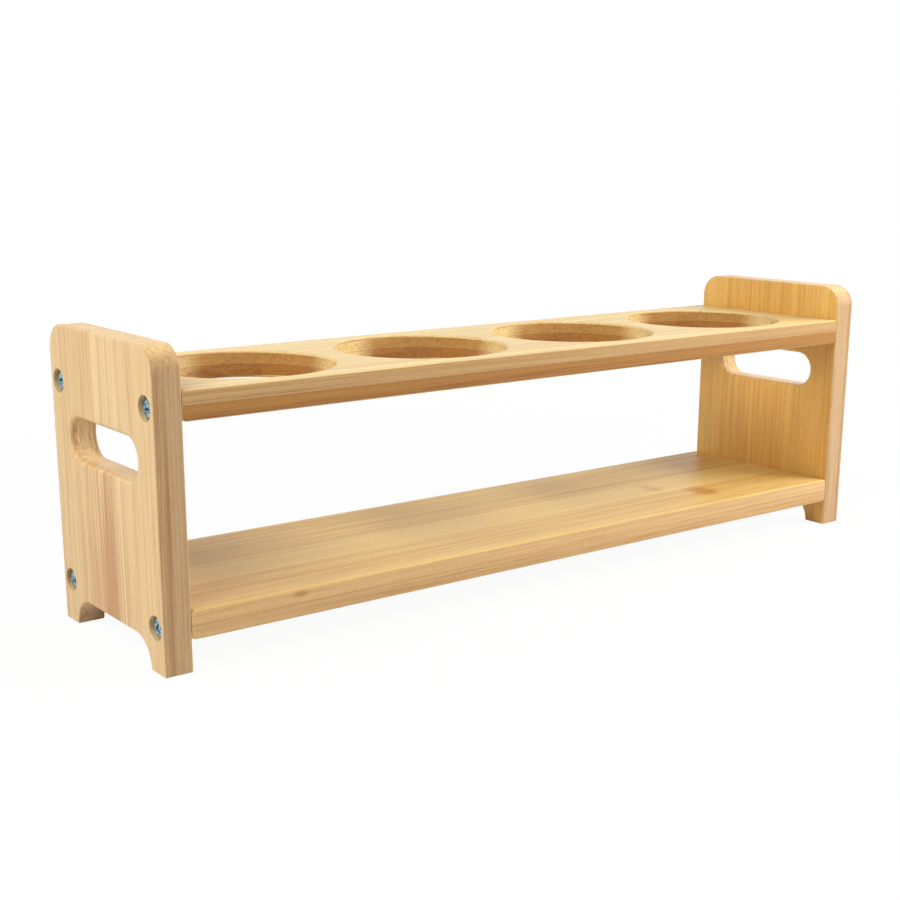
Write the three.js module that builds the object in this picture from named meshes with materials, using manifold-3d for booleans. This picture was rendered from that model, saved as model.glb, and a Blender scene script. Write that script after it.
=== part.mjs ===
// Seasoning bottle rack of bamboo. Two end panels carry a board with a row of bottle holes above
// a plain shelf board, and screws sunk into the panels hold the boards by their ends.
// Millimetres. +X runs along the row of bottles, +Y to the back and +Z up.
// The origin is on the floor, under the middle of the rack.
import * as THREE from 'three';
import { mergeVertices, toCreasedNormals } from 'three/addons/utils/BufferGeometryUtils.js';
import Module from 'manifold-3d';

// The row of bottles sets the length and the depth of the rack.
const HOLE_COUNT = 4;
const HOLE_DIAMETER = 83;
// Wood left between two holes, between the last hole and the board's end, and along the long edges
const HOLE_WEB = 14;
const END_WEB = 12.6;
const EDGE_WEB = 8.5;

// Both boards
const BOARD_THICKNESS = 12.7;
const BOARD_CORNER = 1.2;
const BOARD_EASE = 1;
// Rounding of the arrises across the ends
const BOARD_END_EASE = 2;
// Height of the shelf's underside, and the clear height between the two boards
const SHELF_UNDERSIDE = 13.7;
const BAY_HEIGHT = 77.7;

// End panels. The rise is what stands above the board with the holes.
const PANEL_THICKNESS = 12.7;
const PANEL_RISE = 17.9;
const PANEL_CORNER = 11;
const PANEL_EASE = 0.8;
// Foot arch: width of a foot on the floor, height of the arch and length of its curved ends
const FOOT_WIDTH = 13;
const ARCH_HEIGHT = 13;
const ARCH_SWEEP = 13.4;
// Hand slot with round ends and rounded lips, and the wood between its top and the board with the holes
const SLOT_LENGTH = 66;
const SLOT_HEIGHT = 18.4;
const SLOT_EASE = 2;
const SLOT_DROP = 8.2;

// Pan head wood screws: place in the panel, a little below the middle of a board, then shank and head
const SCREW_INSET = 7.6;
const SCREW_DROP = 0.6;
const SHANK_DIAMETER = 4;
const SHANK_LENGTH = 30;
const POINT_LENGTH = 5;
const HEAD_DIAMETER = 9.2;
const HEAD_HEIGHT = 2.6;
const HEAD_RIM = 0.8;
// How far the crown of the head lies below the panel's outer face, and the counterbore round it
const HEAD_SINK = 0.6;
const COUNTERBORE_DIAMETER = 10.6;
// Cross recess: span at the crown and at the bottom, width of a wing and depth
const RECESS_SPAN = 5;
const RECESS_TIP = 2;
const RECESS_WIDTH = 1.1;
const RECESS_DEPTH = 1.8;
// Angle between the recesses of neighbouring screws
const SCREW_TURN = 0.5;

// Fits: between faces that are drawn together, and round the shank of a screw
const JOINT_GAP = 0.3;
const SHANK_CLEARANCE = 0.3;

// Fineness of arcs, eased edges and round pieces
const ARC_STEPS = 6;
const EASE_STEPS = 2;
const LIP_STEPS = 3;
const SCREW_SIDES = 20;
const CREASE_ANGLE = 0.6;

// Worked out from the sizes above
const boardLength = HOLE_COUNT * HOLE_DIAMETER + (HOLE_COUNT - 1) * HOLE_WEB + 2 * END_WEB;
const rackDepth = HOLE_DIAMETER + 2 * EDGE_WEB;
const bottleBoardUnderside = SHELF_UNDERSIDE + BOARD_THICKNESS + BAY_HEIGHT;
const panelHeight = bottleBoardUnderside + BOARD_THICKNESS + PANEL_RISE;
const panelInnerFace = boardLength / 2 + JOINT_GAP;
const counterboreDepth = HEAD_SINK + HEAD_HEIGHT + JOINT_GAP;
const screwSeat = panelInnerFace + PANEL_THICKNESS - HEAD_SINK - HEAD_HEIGHT;
const shankHoleRadius = SHANK_DIAMETER / 2 + SHANK_CLEARANCE;
const screwDepth = rackDepth / 2 - SCREW_INSET;
const screwHeights = {
  top: bottleBoardUnderside + BOARD_THICKNESS / 2 - SCREW_DROP,
  shelf: SHELF_UNDERSIDE + BOARD_THICKNESS / 2 - SCREW_DROP,
};
const screwSides = { front: -screwDepth, back: screwDepth };

const bamboo = { roughness: 0.5, metalness: 0 };
const panelBamboo = new THREE.MeshStandardMaterial({ ...bamboo, color: 0xe6c697 });
const boardBamboo = new THREE.MeshStandardMaterial({ ...bamboo, color: 0xdcb67c });
const zincSteel = new THREE.MeshStandardMaterial({ color: 0xc4d0da, roughness: 0.3, metalness: 1 });

const wasm = await Module();
wasm.setup();

// A closed geometry as a solid that can be joined and cut
function solidOf(geometry) {
  const bare = geometry.clone();
  bare.deleteAttribute('normal');
  bare.deleteAttribute('uv');
  const merged = mergeVertices(bare);
  const corners = merged.index.array;
  const kept = [];
  for (let i = 0; i < corners.length; i += 3) {
    const [a, b, c] = [corners[i], corners[i + 1], corners[i + 2]];
    const hasArea = a !== b && b !== c && c !== a;
    if (hasArea) kept.push(a, b, c);
  }
  return new wasm.Manifold(new wasm.Mesh({
    numProp: 3,
    vertProperties: new Float32Array(merged.attributes.position.array),
    triVerts: new Uint32Array(kept),
  }));
}

// A solid as a geometry with creased normals
function geometryOf(solid) {
  const mesh = solid.getMesh();
  const geometry = new THREE.BufferGeometry();
  geometry.setAttribute('position', new THREE.BufferAttribute(mesh.vertProperties, mesh.numProp));
  geometry.setIndex(new THREE.BufferAttribute(mesh.triVerts, 1));
  return toCreasedNormals(geometry, CREASE_ANGLE);
}

// An outline extruded along Z from 0 to the thickness, with its edges and holes rounded over
function easedPlate(shape, thickness, ease) {
  const plate = new THREE.ExtrudeGeometry(shape, {
    depth: thickness - 2 * ease,
    bevelThickness: ease,
    bevelSize: ease,
    bevelOffset: -ease,
    bevelSegments: EASE_STEPS,
    curveSegments: ARC_STEPS,
  });
  return plate.translate(0, 0, ease);
}

// A cylinder along an axis, from one coordinate on that axis to another
function cylinderAlong(axis, radius, start, end) {
  const cylinder = new THREE.CylinderGeometry(radius, radius, end - start, SCREW_SIDES);
  cylinder.translate(0, (start + end) / 2, 0);
  if (axis === 'x') cylinder.rotateZ(-Math.PI / 2);
  if (axis === 'z') cylinder.rotateX(Math.PI / 2);
  return cylinder;
}

// Round hole drawn as four quarter arcs
function roundHole(x, y, radius) {
  const hole = new THREE.Path();
  for (let quarter = 0; quarter < 4; quarter += 1) {
    const start = quarter * Math.PI / 2;
    hole.absarc(x, y, radius, start, start + Math.PI / 2);
  }
  return hole.closePath();
}

// Rectangle about the origin with round corners
function roundedRectangle(length, width, corner) {
  const shape = new THREE.Shape();
  const x = length / 2 - corner;
  const y = width / 2 - corner;
  shape.absarc(x, -y, corner, -Math.PI / 2, 0);
  shape.absarc(x, y, corner, 0, Math.PI / 2);
  shape.absarc(-x, y, corner, Math.PI / 2, Math.PI);
  shape.absarc(-x, -y, corner, Math.PI, 1.5 * Math.PI);
  return shape.closePath();
}

// Plan of a board
function boardOutline() {
  return roundedRectangle(boardLength, rackDepth, BOARD_CORNER);
}

// Front view of a board, with the arrises of its ends rounded, carried from front to back
function boardSection() {
  const outline = roundedRectangle(boardLength, BOARD_THICKNESS, BOARD_END_EASE);
  const block = new THREE.ExtrudeGeometry(outline, {
    depth: rackDepth,
    bevelEnabled: false,
    curveSegments: ARC_STEPS,
  });
  block.rotateX(Math.PI / 2);
  return solidOf(block.translate(0, rackDepth / 2, BOARD_THICKNESS / 2));
}

// Side view of an end panel, front to back along x and height along y
function panelOutline() {
  const half = rackDepth / 2;
  const archEnd = half - FOOT_WIDTH - ARCH_SWEEP;
  const cornerX = half - PANEL_CORNER;
  const cornerY = panelHeight - PANEL_CORNER;
  const shape = new THREE.Shape();
  shape.moveTo(-half, 0);
  shape.lineTo(FOOT_WIDTH - half, 0);
  shape.absellipse(-archEnd, 0, ARCH_SWEEP, ARCH_HEIGHT, Math.PI, Math.PI / 2, true);
  shape.absellipse(archEnd, 0, ARCH_SWEEP, ARCH_HEIGHT, Math.PI / 2, 0, true);
  shape.lineTo(half, 0);
  shape.absarc(cornerX, cornerY, PANEL_CORNER, 0, Math.PI / 2);
  shape.absarc(-cornerX, cornerY, PANEL_CORNER, Math.PI / 2, Math.PI);
  return shape.closePath();
}

// What is cut away for the hand slot: half round ends, widening to both faces round the lips
function handSlot() {
  const radius = SLOT_HEIGHT / 2;
  const endX = SLOT_LENGTH / 2 - radius;
  const centreY = bottleBoardUnderside - SLOT_DROP - radius;
  const outline = new THREE.Shape();
  outline.absarc(endX, centreY, radius, -Math.PI / 2, Math.PI / 2);
  outline.absarc(-endX, centreY, radius, Math.PI / 2, 1.5 * Math.PI);
  const slot = new THREE.ExtrudeGeometry(outline.closePath(), {
    depth: PANEL_THICKNESS - 2 * SLOT_EASE,
    bevelThickness: SLOT_EASE,
    bevelSize: -SLOT_EASE,
    bevelOffset: SLOT_EASE,
    bevelSegments: LIP_STEPS,
    curveSegments: 2 * ARC_STEPS,
  });
  return solidOf(slot.translate(0, 0, SLOT_EASE));
}

// A board between the panels, with a pilot hole for each screw, its underside at a given height
function boardGeometry(outline, underside, screwHeight) {
  let board = solidOf(easedPlate(outline, BOARD_THICKNESS, BOARD_EASE)).intersect(boardSection());
  const reach = screwSeat - SHANK_LENGTH - JOINT_GAP;
  for (const y of Object.values(screwSides)) {
    for (const [start, end] of [[reach, panelInnerFace], [-panelInnerFace, -reach]]) {
      const pilot = cylinderAlong('x', shankHoleRadius, start, end);
      board = board.subtract(solidOf(pilot.translate(0, y, screwHeight - underside)));
    }
  }
  return geometryOf(board);
}

// Board with the row of bottle holes
function bottleBoard() {
  const outline = boardOutline();
  const pitch = HOLE_DIAMETER + HOLE_WEB;
  for (let i = 0; i < HOLE_COUNT; i += 1) {
    const x = (i - (HOLE_COUNT - 1) / 2) * pitch;
    outline.holes.push(roundHole(x, 0, HOLE_DIAMETER / 2));
  }
  const geometry = boardGeometry(outline, bottleBoardUnderside, screwHeights.top);
  const board = new THREE.Mesh(geometry, boardBamboo);
  board.name = 'bottle_board';
  board.position.z = bottleBoardUnderside;
  return board;
}

// Plain shelf that the bottles stand on
function shelfBoard() {
  const geometry = boardGeometry(boardOutline(), SHELF_UNDERSIDE, screwHeights.shelf);
  const shelf = new THREE.Mesh(geometry, boardBamboo);
  shelf.name = 'shelf_board';
  shelf.position.z = SHELF_UNDERSIDE;
  return shelf;
}

// End panel, drawn in its side view with its outer face towards +z and then stood up to face +X
function endPanel(name) {
  let panel = solidOf(easedPlate(panelOutline(), PANEL_THICKNESS, PANEL_EASE)).subtract(handSlot());
  const floor = PANEL_THICKNESS - counterboreDepth;
  const beyond = PANEL_THICKNESS + JOINT_GAP;
  for (const height of Object.values(screwHeights)) {
    for (const side of Object.values(screwSides)) {
      const counterbore = cylinderAlong('z', COUNTERBORE_DIAMETER / 2, floor, beyond);
      const shankHole = cylinderAlong('z', shankHoleRadius, -JOINT_GAP, beyond);
      panel = panel.subtract(solidOf(counterbore.translate(side, height, 0)));
      panel = panel.subtract(solidOf(shankHole.translate(side, height, 0)));
    }
  }
  const mesh = new THREE.Mesh(geometryOf(panel), panelBamboo);
  const across = new THREE.Vector3(0, 1, 0);
  const up = new THREE.Vector3(0, 0, 1);
  const outward = new THREE.Vector3(1, 0, 0);
  mesh.name = name;
  mesh.setRotationFromMatrix(new THREE.Matrix4().makeBasis(across, up, outward));
  mesh.position.x = panelInnerFace;
  return mesh;
}

// Tapered cross cut into the crown of a screw head
function crossRecess() {
  const wing = new THREE.Shape();
  wing.moveTo(-RECESS_TIP / 2, HEAD_HEIGHT - RECESS_DEPTH);
  wing.lineTo(RECESS_TIP / 2, HEAD_HEIGHT - RECESS_DEPTH);
  wing.lineTo(RECESS_SPAN / 2, HEAD_HEIGHT);
  wing.lineTo(RECESS_SPAN / 2, HEAD_HEIGHT + RECESS_DEPTH);
  wing.lineTo(-RECESS_SPAN / 2, HEAD_HEIGHT + RECESS_DEPTH);
  wing.lineTo(-RECESS_SPAN / 2, HEAD_HEIGHT);
  wing.closePath();
  const blade = new THREE.ExtrudeGeometry(wing, { depth: RECESS_WIDTH, bevelEnabled: false });
  blade.translate(0, 0, -RECESS_WIDTH / 2);
  const crossing = blade.clone().rotateY(Math.PI / 2);
  return solidOf(blade).add(solidOf(crossing));
}

// Screw with its axis along y: the point below, the underside of the head at 0, the crown on top
function screwGeometry() {
  const profile = new THREE.Path();
  profile.moveTo(0, -SHANK_LENGTH);
  profile.lineTo(SHANK_DIAMETER / 2, POINT_LENGTH - SHANK_LENGTH);
  profile.lineTo(SHANK_DIAMETER / 2, 0);
  profile.lineTo(HEAD_DIAMETER / 2, 0);
  profile.absellipse(0, HEAD_RIM, HEAD_DIAMETER / 2, HEAD_HEIGHT - HEAD_RIM, 0, Math.PI / 2);
  const blank = new THREE.LatheGeometry(profile.getPoints(EASE_STEPS), SCREW_SIDES);
  return geometryOf(solidOf(blank).subtract(crossRecess()));
}

// An end panel with its screws, facing +X, turned about the rack's middle to its side
function rackEnd(side, turn) {
  const end = new THREE.Group();
  end.add(endPanel(`${side}_end_panel`));
  const geometry = screwGeometry();
  let count = 0;
  for (const [level, height] of Object.entries(screwHeights)) {
    for (const [place, y] of Object.entries(screwSides)) {
      const screw = new THREE.Mesh(geometry.clone().rotateY(count * SCREW_TURN), zincSteel);
      screw.name = `${side}_${level}_${place}_screw`;
      screw.rotation.z = -Math.PI / 2;
      screw.position.set(screwSeat, y * Math.cos(turn), height);
      end.add(screw);
      count += 1;
    }
  }
  end.rotation.z = turn;
  return end;
}

const rack = new THREE.Group();
rack.add(bottleBoard());
rack.add(shelfBoard());
rack.add(rackEnd('right', 0));
rack.add(rackEnd('left', Math.PI));

export default rack;
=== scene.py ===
"""Bamboo seasoning bottle rack, dressed over its construction model.

Wooden plates with rounded edges, routed holes and sunk screws are worked out as numpy surfaces in
the frame of the construction model. Lengths are in metres, and in millimetres where a name or a
description says so.
"""
import math

import bpy
import numpy as np
from bpy.props import FloatProperty, FloatVectorProperty, IntProperty, PointerProperty
from mathutils import Matrix, Vector
from mathutils.geometry import tessellate_polygon


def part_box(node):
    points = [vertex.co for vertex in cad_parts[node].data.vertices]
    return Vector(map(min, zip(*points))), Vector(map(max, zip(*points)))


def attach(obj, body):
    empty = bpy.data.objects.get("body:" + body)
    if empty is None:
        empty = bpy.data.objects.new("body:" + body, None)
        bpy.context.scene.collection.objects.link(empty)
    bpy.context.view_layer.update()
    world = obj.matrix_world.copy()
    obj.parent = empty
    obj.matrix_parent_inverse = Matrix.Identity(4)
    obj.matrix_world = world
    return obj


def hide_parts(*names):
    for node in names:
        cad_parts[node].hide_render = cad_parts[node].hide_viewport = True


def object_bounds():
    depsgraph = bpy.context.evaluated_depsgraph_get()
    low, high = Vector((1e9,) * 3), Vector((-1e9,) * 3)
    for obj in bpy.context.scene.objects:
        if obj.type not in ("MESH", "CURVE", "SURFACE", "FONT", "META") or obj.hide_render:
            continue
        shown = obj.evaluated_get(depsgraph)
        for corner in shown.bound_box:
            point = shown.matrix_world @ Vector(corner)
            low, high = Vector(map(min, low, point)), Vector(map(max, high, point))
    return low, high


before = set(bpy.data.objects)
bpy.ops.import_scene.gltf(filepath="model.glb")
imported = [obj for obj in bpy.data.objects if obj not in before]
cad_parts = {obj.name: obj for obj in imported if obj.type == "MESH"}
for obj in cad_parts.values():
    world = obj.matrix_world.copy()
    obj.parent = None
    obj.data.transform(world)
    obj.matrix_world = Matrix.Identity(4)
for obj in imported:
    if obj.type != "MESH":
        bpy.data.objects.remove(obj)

bl_info = {
    "name": "Bottle Rack",
    "version": (1, 0, 0),
    "blender": (4, 5, 0),
    "location": "3D View > Sidebar > Rack",
    "description": "Builds a bamboo seasoning bottle rack with its screws and a plain studio",
    "category": "Add Mesh",
}

CAD_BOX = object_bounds()
MM = 0.001
TURN = 2 * math.pi
QUARTER = math.pi / 2
X, Y, Z = np.eye(3)
SIDES = {"left": -1, "right": 1}
LEVELS = ("top", "shelf")
PLACES = ("front", "back")

# Steps of an arc, a round hole, a rounded arris, and the rings and rows of a screw
ARC_STEPS = 12
RING_STEPS = 96
EASE_STEPS = 5
SCREW_STEPS = 96
HEAD_ROWS = 40
NECK_ROWS = 4
THREAD_ROWS = 8
POINT_ROWS = 12
THREAD_SHARPNESS = 6
SHARP_ANGLE = math.radians(40)

# Rounding of a pilot hole's mouth and bottom, against its radius
PILOT_EASE = 0.25

# Thickness of a ply
PLY = 6.35 * MM

# How long the marks of the grain are along a strip, in millimetres, and how much the marks and the
# strip's own tone count. Real fibres and their bundles are about 0.2 mm across, too fine to show,
# so the widths in the settings and these lengths draw them coarser.
GRAIN_LENGTHS = {"band": 260, "streak": 150, "fibre": 30, "bundle": 2.5}
GRAIN_WEIGHTS = {"band": 0.25, "streak": 0.5, "fibre": 0.4}
STRIP_WEIGHT = 0.12
MIDDLE_TONE = 0.5

# How far the grain jumps from strip to strip, and the length and width of its sway, in millimetres
STRIP_JUMP = (900, 90, 90)
SWAY_LENGTHS = (80, 20, 20)
SWAY = (0, 1.2, 1.2)

# Tones that show the dark, the common and the pale grain, and how strongly tones differ on an outer
# face, an inner face and an edge
GRAIN_STOPS = (0.28, 0.5, 0.7)
FACE_CONTRAST = 1.15
INSIDE_CONTRAST = 0.85
EDGE_CONTRAST = 1.35

# How far a normal points to the front or back where a surface starts to be an edge, and fully is
EDGE_TURN = (0.6, 0.95)

# How far a normal points away from the middle of the rack, below which a face is an inner one,
# which on a panel gets a colour that is partly painted shade
INSIDE_TURN = -0.85

# A fixed slant in plan along which a routed wall takes the paler face colour, as painted light,
# and how far a normal points along it where the wall starts to show its own darker colour, partly
# painted shade, and fully does
LIT_WALL_AXIS = (0.75, -0.66, 0)
WALL_TURN = (0.85, 0.62)

# Noise that makes no fibre dot and a full one, and how dark the dots are in planed and routed wood
SPECK_RANGE = (0.6, 0.35)
PLANED_SPECKS = 0.08
ROUTED_SPECKS = 0.22

# Half the width of a glue line, and how dark it is
SEAM_HALF = 0.3 * MM
SEAM_SHADE = 0.25

# How ragged a scar's rim is, and the distances at which it has faded out and is full
SCAR_RAGGEDNESS = 1.5
SCAR_RANGE = (1.75, 0.9)

# Sockets of a Map Range node: its value and both ends of its two ranges
RANGE = ("Value", "From Min", "From Max", "To Min", "To Max")

# Most values of a noise lie in this range, which is spread over the roughness of a finish
NOISE_RANGE = (0.3, 0.7)

# Lacquer, and the relief that the fibres leave in it
LACQUER_ROUGHNESS = (0.36, 0.46)
LACQUER_IOR = 1.5
FIBRE_RELIEF = 0.1 * MM
RELIEF_STRENGTH = 0.12

# Zinc plating: size of its clouds, where they are dark and pale, and its roughness. The pale
# clouds are partly painted glints, in place of the lamps that the metal doesn't mirror
CLOUD = 1.5 * MM
CLOUD_STOPS = (0.35, 0.7)
ZINC_ROUGHNESS = (0.22, 0.34)

# Scars and dark patches of the stems: middle and reach along, across and through the strips in
# millimetres, and how far the shade goes
SHELF_SCARS = (
    ((123, -28, 26), (10, 15, 5), 0.7),
    ((104, -6, 26), (8, 13, 5), 0.4),
    ((-148, -50, 24), (6, 3, 3), 0.5),
)
PANEL_SCARS = (((20, -1, 212.6), (90, 23, 8), 0.6),)

# Place and width of each softbox
LAMPS = {
    "top": ((-0.9, -0.2, 1.1), 0.9),
    "left": ((-1.2, 0.2, 0.9), 0.8),
    "right": ((0.66, -0.45, 0.42), 0.5),
    "front": ((0.55, -0.7, 1.2), 0.5),
}

# Floor: its colour, half its width, how far it lies under the feet, and its share of plain white,
# which grows with the distance from the middle of the rack and leaves room for the shadow
PAPER = "#E8E8E8"
FLOOR_HALF = 4.0
FLOOR_DROP = 0.2 * MM
WHITE_REACH = (0.2, 0.6)
WHITE_SHARE = (0.95, 1)

# Width of the camera's sensor in millimetres
SENSOR = 36


def linear(hex_colour):
    """An sRGB hex value as linear red, green, blue and alpha."""
    srgb = np.array([int(hex_colour[i:i + 2], 16) for i in (1, 3, 5)]) / 255
    low = srgb / 12.92
    high = ((srgb + 0.055) / 1.055) ** 2.4
    return (*np.where(srgb <= 0.04045, low, high).tolist(), 1.0)


def corners(part):
    """Lowest and highest corner of a node of the construction model, as arrays."""
    low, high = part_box(part)
    return np.array(low), np.array(high)


def length(name, description, millimetres):
    """A length property whose default is given in millimetres."""
    return FloatProperty(name=name, description=description, default=millimetres * MM,
                         unit="LENGTH", subtype="DISTANCE", precision=4)


def colour(name, description, hex_colour):
    """A colour property whose default is an sRGB hex value."""
    return FloatVectorProperty(name=name, description=description, default=linear(hex_colour),
                               subtype="COLOR", size=4, min=0, max=1)


def angle(name, description, degrees):
    """An angle property whose default is given in degrees."""
    return FloatProperty(name=name, description=description, default=math.radians(degrees),
                         subtype="ANGLE")


def power(name, description, watts):
    """A lamp power property."""
    return FloatProperty(name=name, description=description, default=watts, min=0, unit="POWER")


class RackShape(bpy.types.PropertyGroup):
    """Sizes of the wooden pieces"""
    hole_count: IntProperty(name="Holes", description="Bottle holes in the row", default=4, min=1)
    hole_diameter: length("Hole diameter", "Bore of a bottle hole", 83)
    hole_pitch: length("Hole pitch", "Distance between the middles of two bottle holes", 97)
    board_ease: length("Board edge radius", "Rounding of the boards' long edges", 1)
    board_upright_ease: length("Board upright radius",
                               "Rounding of the boards' upright end arrises", 0.15)
    joint_play: length("Joint play", "Gap at a board's end that a tight joint closes", 0.25)
    hole_ease: length("Hole rim radius", "Rounding of the rims of the bottle holes", 1.2)
    board_end_ease: length("Board end radius", "Rounding of the arrises across the boards' ends", 2)
    panel_ease: length("Panel edge radius", "Rounding of the panels' edges", 0.8)
    panel_corner: length("Panel corner radius", "Rounding of the panels' top corners", 11)
    foot_width: length("Foot width", "Width of a foot on the floor", 13)
    foot_corner: length("Foot corner radius", "Rounding of the corners of a foot", 0.8)
    arch_height: length("Arch height", "Height of the arch between two feet", 13)
    arch_sweep: length("Arch sweep", "Length of the curved ends of the arch", 13.4)
    slot_length: length("Slot length", "Length of a hand slot", 66)
    slot_height: length("Slot height", "Height of a hand slot", 18.4)
    slot_ease: length("Slot lip radius", "Rounding of the lips of a hand slot", 2)
    slot_drop: length("Slot drop", "Wood between a hand slot and the bottle board", 8.2)
    counterbore: length("Counterbore diameter", "Sunk hole round a screw head", 10.6)
    mouth_ease: length("Mouth radius", "Rounding of the mouth of a counterbore", 0.4)
    shank_hole: length("Shank hole diameter", "Hole for the shank of a screw", 4.6)
    seat_gap: length("Seat gap", "Play under a screw head and beyond its point", 0.3)


class RackScrew(bpy.types.PropertyGroup):
    """Sizes and plating of a pan head wood screw"""
    head_diameter: length("Head diameter", "Width of the head", 9.2)
    head_height: length("Head height", "Height of the head over its seat", 2.6)
    head_rim: length("Head rim", "Straight height of the head below its dome", 0.8)
    recess_span: length("Recess span", "Width of the cross at the crown", 5)
    recess_tip: length("Recess tip", "Width of the cross at its bottom", 2)
    recess_width: length("Recess width", "Width of a wing of the cross", 1.2)
    recess_depth: length("Recess depth", "Depth of the cross", 1.8)
    recess_slope: length("Recess slope", "Width of the slanted wall of a wing", 0.25)
    shank_diameter: length("Shank diameter", "Diameter over the thread", 4)
    core_diameter: length("Core diameter", "Diameter at the root of the thread", 2.8)
    thread_pitch: length("Thread pitch", "Rise of the thread in one turn", 1.8)
    point_length: length("Point length", "Length of the tapered point", 5)
    turn: angle("Turn", "Angle from the cross of one screw to that of the next", 28.6)
    dark_plating: colour("Dark plating", "Dark clouds in the zinc", "#4C7083")
    # Pale plating: partly the zinc's own clouding, partly painted glints
    pale_plating_and_glints: colour("Pale plating", "Pale clouds in the zinc", "#BCD6E0")


class RackBamboo(bpy.types.PropertyGroup):
    """Colours and grain of the bamboo"""
    board_face: colour("Board face", "Planed top of the bottle board", "#F0D596")
    upper_ply: colour("Upper ply", "Front edge of the bottle board's upper ply", "#C59E68")
    lower_ply: colour("Lower ply", "Front edge of the bottle board's lower ply", "#B17D3C")
    # Hole walls: darker colours, partly the routed wood's own tone and partly painted shade
    shaded_upper_wall: colour("Upper hole wall", "Routed wall in the upper ply", "#C19351")
    shaded_lower_wall: colour("Lower hole wall", "Routed wall in the lower ply", "#AF7938")
    shelf_face: colour("Shelf face", "Planed top of the shelf", "#F0CE82")
    shelf_edge: colour("Shelf edge", "Front edge of the shelf's upper ply", "#DEB77F")
    shelf_lower_edge: colour("Shelf lower edge", "Front edge of the shelf's lower ply", "#D5AD76")
    panel_face: colour("Panel outside", "Planed outer face of a panel", "#EAC993")
    # Panel inside: a darker, more orange copy of the bamboo for the inner faces, partly painted
    # shade
    panel_inside: colour("Panel inside", "Planed inner face of a panel", "#F6C770")
    panel_edge: colour("Panel edge", "Sanded edge of a panel", "#C7A57A")
    panel_lip: colour("Panel lip", "Routed walls in a panel", "#E9D0A1")
    dark_grain: colour("Dark grain", "Shade of the darkest grain against the palest", "#D8BE9C")
    common_grain: colour("Common grain", "Shade of the common grain against the palest", "#F3EEE7")
    pale_grain: colour("Pale grain", "Shade of the palest grain", "#FFFFFF")
    fibre: colour("Fibre bundles", "Shade of the fibre bundles against the palest grain", "#9A7048")
    scar: colour("Scars", "Shade of the scars of a stem's joints", "#B88044")
    strip_width: length("Strip width", "Width of a laminated strip", 24)
    band_width: length("Band width", "Width of a broad band in the grain", 6)
    streak_width: length("Streak width", "Width of a streak in the grain", 1.4)
    fibre_width: length("Fibre width", "Width of the finest fibres that show", 0.5)
    bundle_width: length("Bundle width", "Distance between fibre bundles", 0.9)
    strip_shift: length("Strip shift", "How far the strips lie off the middle of the rack", 17)


class RackStudio(bpy.types.PropertyGroup):
    """Camera and lamps"""
    azimuth: angle("Azimuth", "Direction of the camera round the rack", -37.207)
    elevation: angle("Elevation", "Height of the camera over the horizon", 14.453)
    roll: angle("Roll", "Turn of the camera about its own axis", 0.159)
    aside: length("Aside", "Shift of the camera to its right", -24.13)
    above: length("Above", "Shift of the camera along its upright", 24.24)
    distance: length("Distance", "Distance of the camera along its axis", 744.27)
    focal: FloatProperty(name="Focal length", description="Lens of the camera in millimetres",
                         default=57.41, unit="CAMERA")
    rise: FloatProperty(name="Rise", description="Vertical lens shift", default=0.0739)
    sky: FloatProperty(name="Sky", description="Strength of the even light from all sides",
                       default=0.02)
    top_power: power("Top lamp", "Power of the large lamp above the left", 11.5)
    left_power: power("Left lamp", "Power of the lamp at the left", 7.5)
    right_power: power("Right lamp", "Power of the lamp at the right", 7.1)
    front_power: power("Front lamp", "Power of the lamp above the front", 4.9)


def arc_path(arcs, steps):
    """Points and normals along arcs that straight runs join.

    An arc is (centre, radii, start, end, side). Its points are centre + radii * (cos a, sin a) for
    angles a from start to end, and its normal is side * (cos a / rx, sin a / ry) made one long, so
    side is 1 where the wood lies within the arc and -1 where it lies outside.
    """
    centre, radii, start, end, side = (np.array(column, float) for column in zip(*arcs))
    share = np.linspace(0, 1, steps + 1)
    turned = start[:, None] + (end - start)[:, None] * share
    direction = np.stack([np.cos(turned), np.sin(turned)], axis=-1)
    points = centre[:, None] + radii[:, None] * direction
    normals = side[:, None, None] * direction / radii[:, None]
    normals /= np.linalg.norm(normals, axis=-1, keepdims=True)
    return points.reshape(-1, 2), normals.reshape(-1, 2)


def ring_path(centre, radius):
    """Points round a hole: centre + radius * (cos a, sin a), with normals to its middle."""
    turned = np.arange(RING_STEPS) * TURN / RING_STEPS
    direction = np.stack([np.cos(turned), np.sin(turned)], axis=-1)
    return np.array(centre) + radius * direction, -direction


def edge_profile(thickness, ease):
    """Section of a plate's edge from its upper face to its lower one, with both arrises rounded.

    The first value of a point is its offset from the outline, away from the wood, and the second
    its height. Sharp corners are (0, thickness) and (0, 0), and the rounding adds ease times a
    quarter circle. The ease is one radius, or one for each point of the outline.
    """
    upper = ((-1, -1), (1, 1), QUARTER, 0, 1)
    lower = ((-1, 1), (1, 1), 0, -QUARTER, 1)
    rounding, slope = arc_path([upper, lower], EASE_STEPS)
    sharp = np.zeros_like(rounding)
    sharp[:EASE_STEPS + 1, 1] = thickness
    return sharp + np.reshape(ease, (-1, 1, 1)) * rounding, slope


def counterbore_profile(shape, thickness, floor):
    """Section of a screw hole: rounded mouth, sunk wall, its floor and the shank hole below."""
    ease = shape.mouth_ease
    radii = (ease, ease)
    inner = (shape.counterbore - shape.shank_hole) / 2 - ease
    mouth = ((-ease, thickness - ease), radii, QUARTER, 0, 1)
    corner = ((ease, floor + ease), radii, math.pi, 1.5 * math.pi, -1)
    step = ((inner, floor - ease), radii, QUARTER, 0, 1)
    exit_edge = ((inner, ease), radii, 0, -QUARTER, 1)
    return arc_path([mouth, corner, step, exit_edge], EASE_STEPS)


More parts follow.
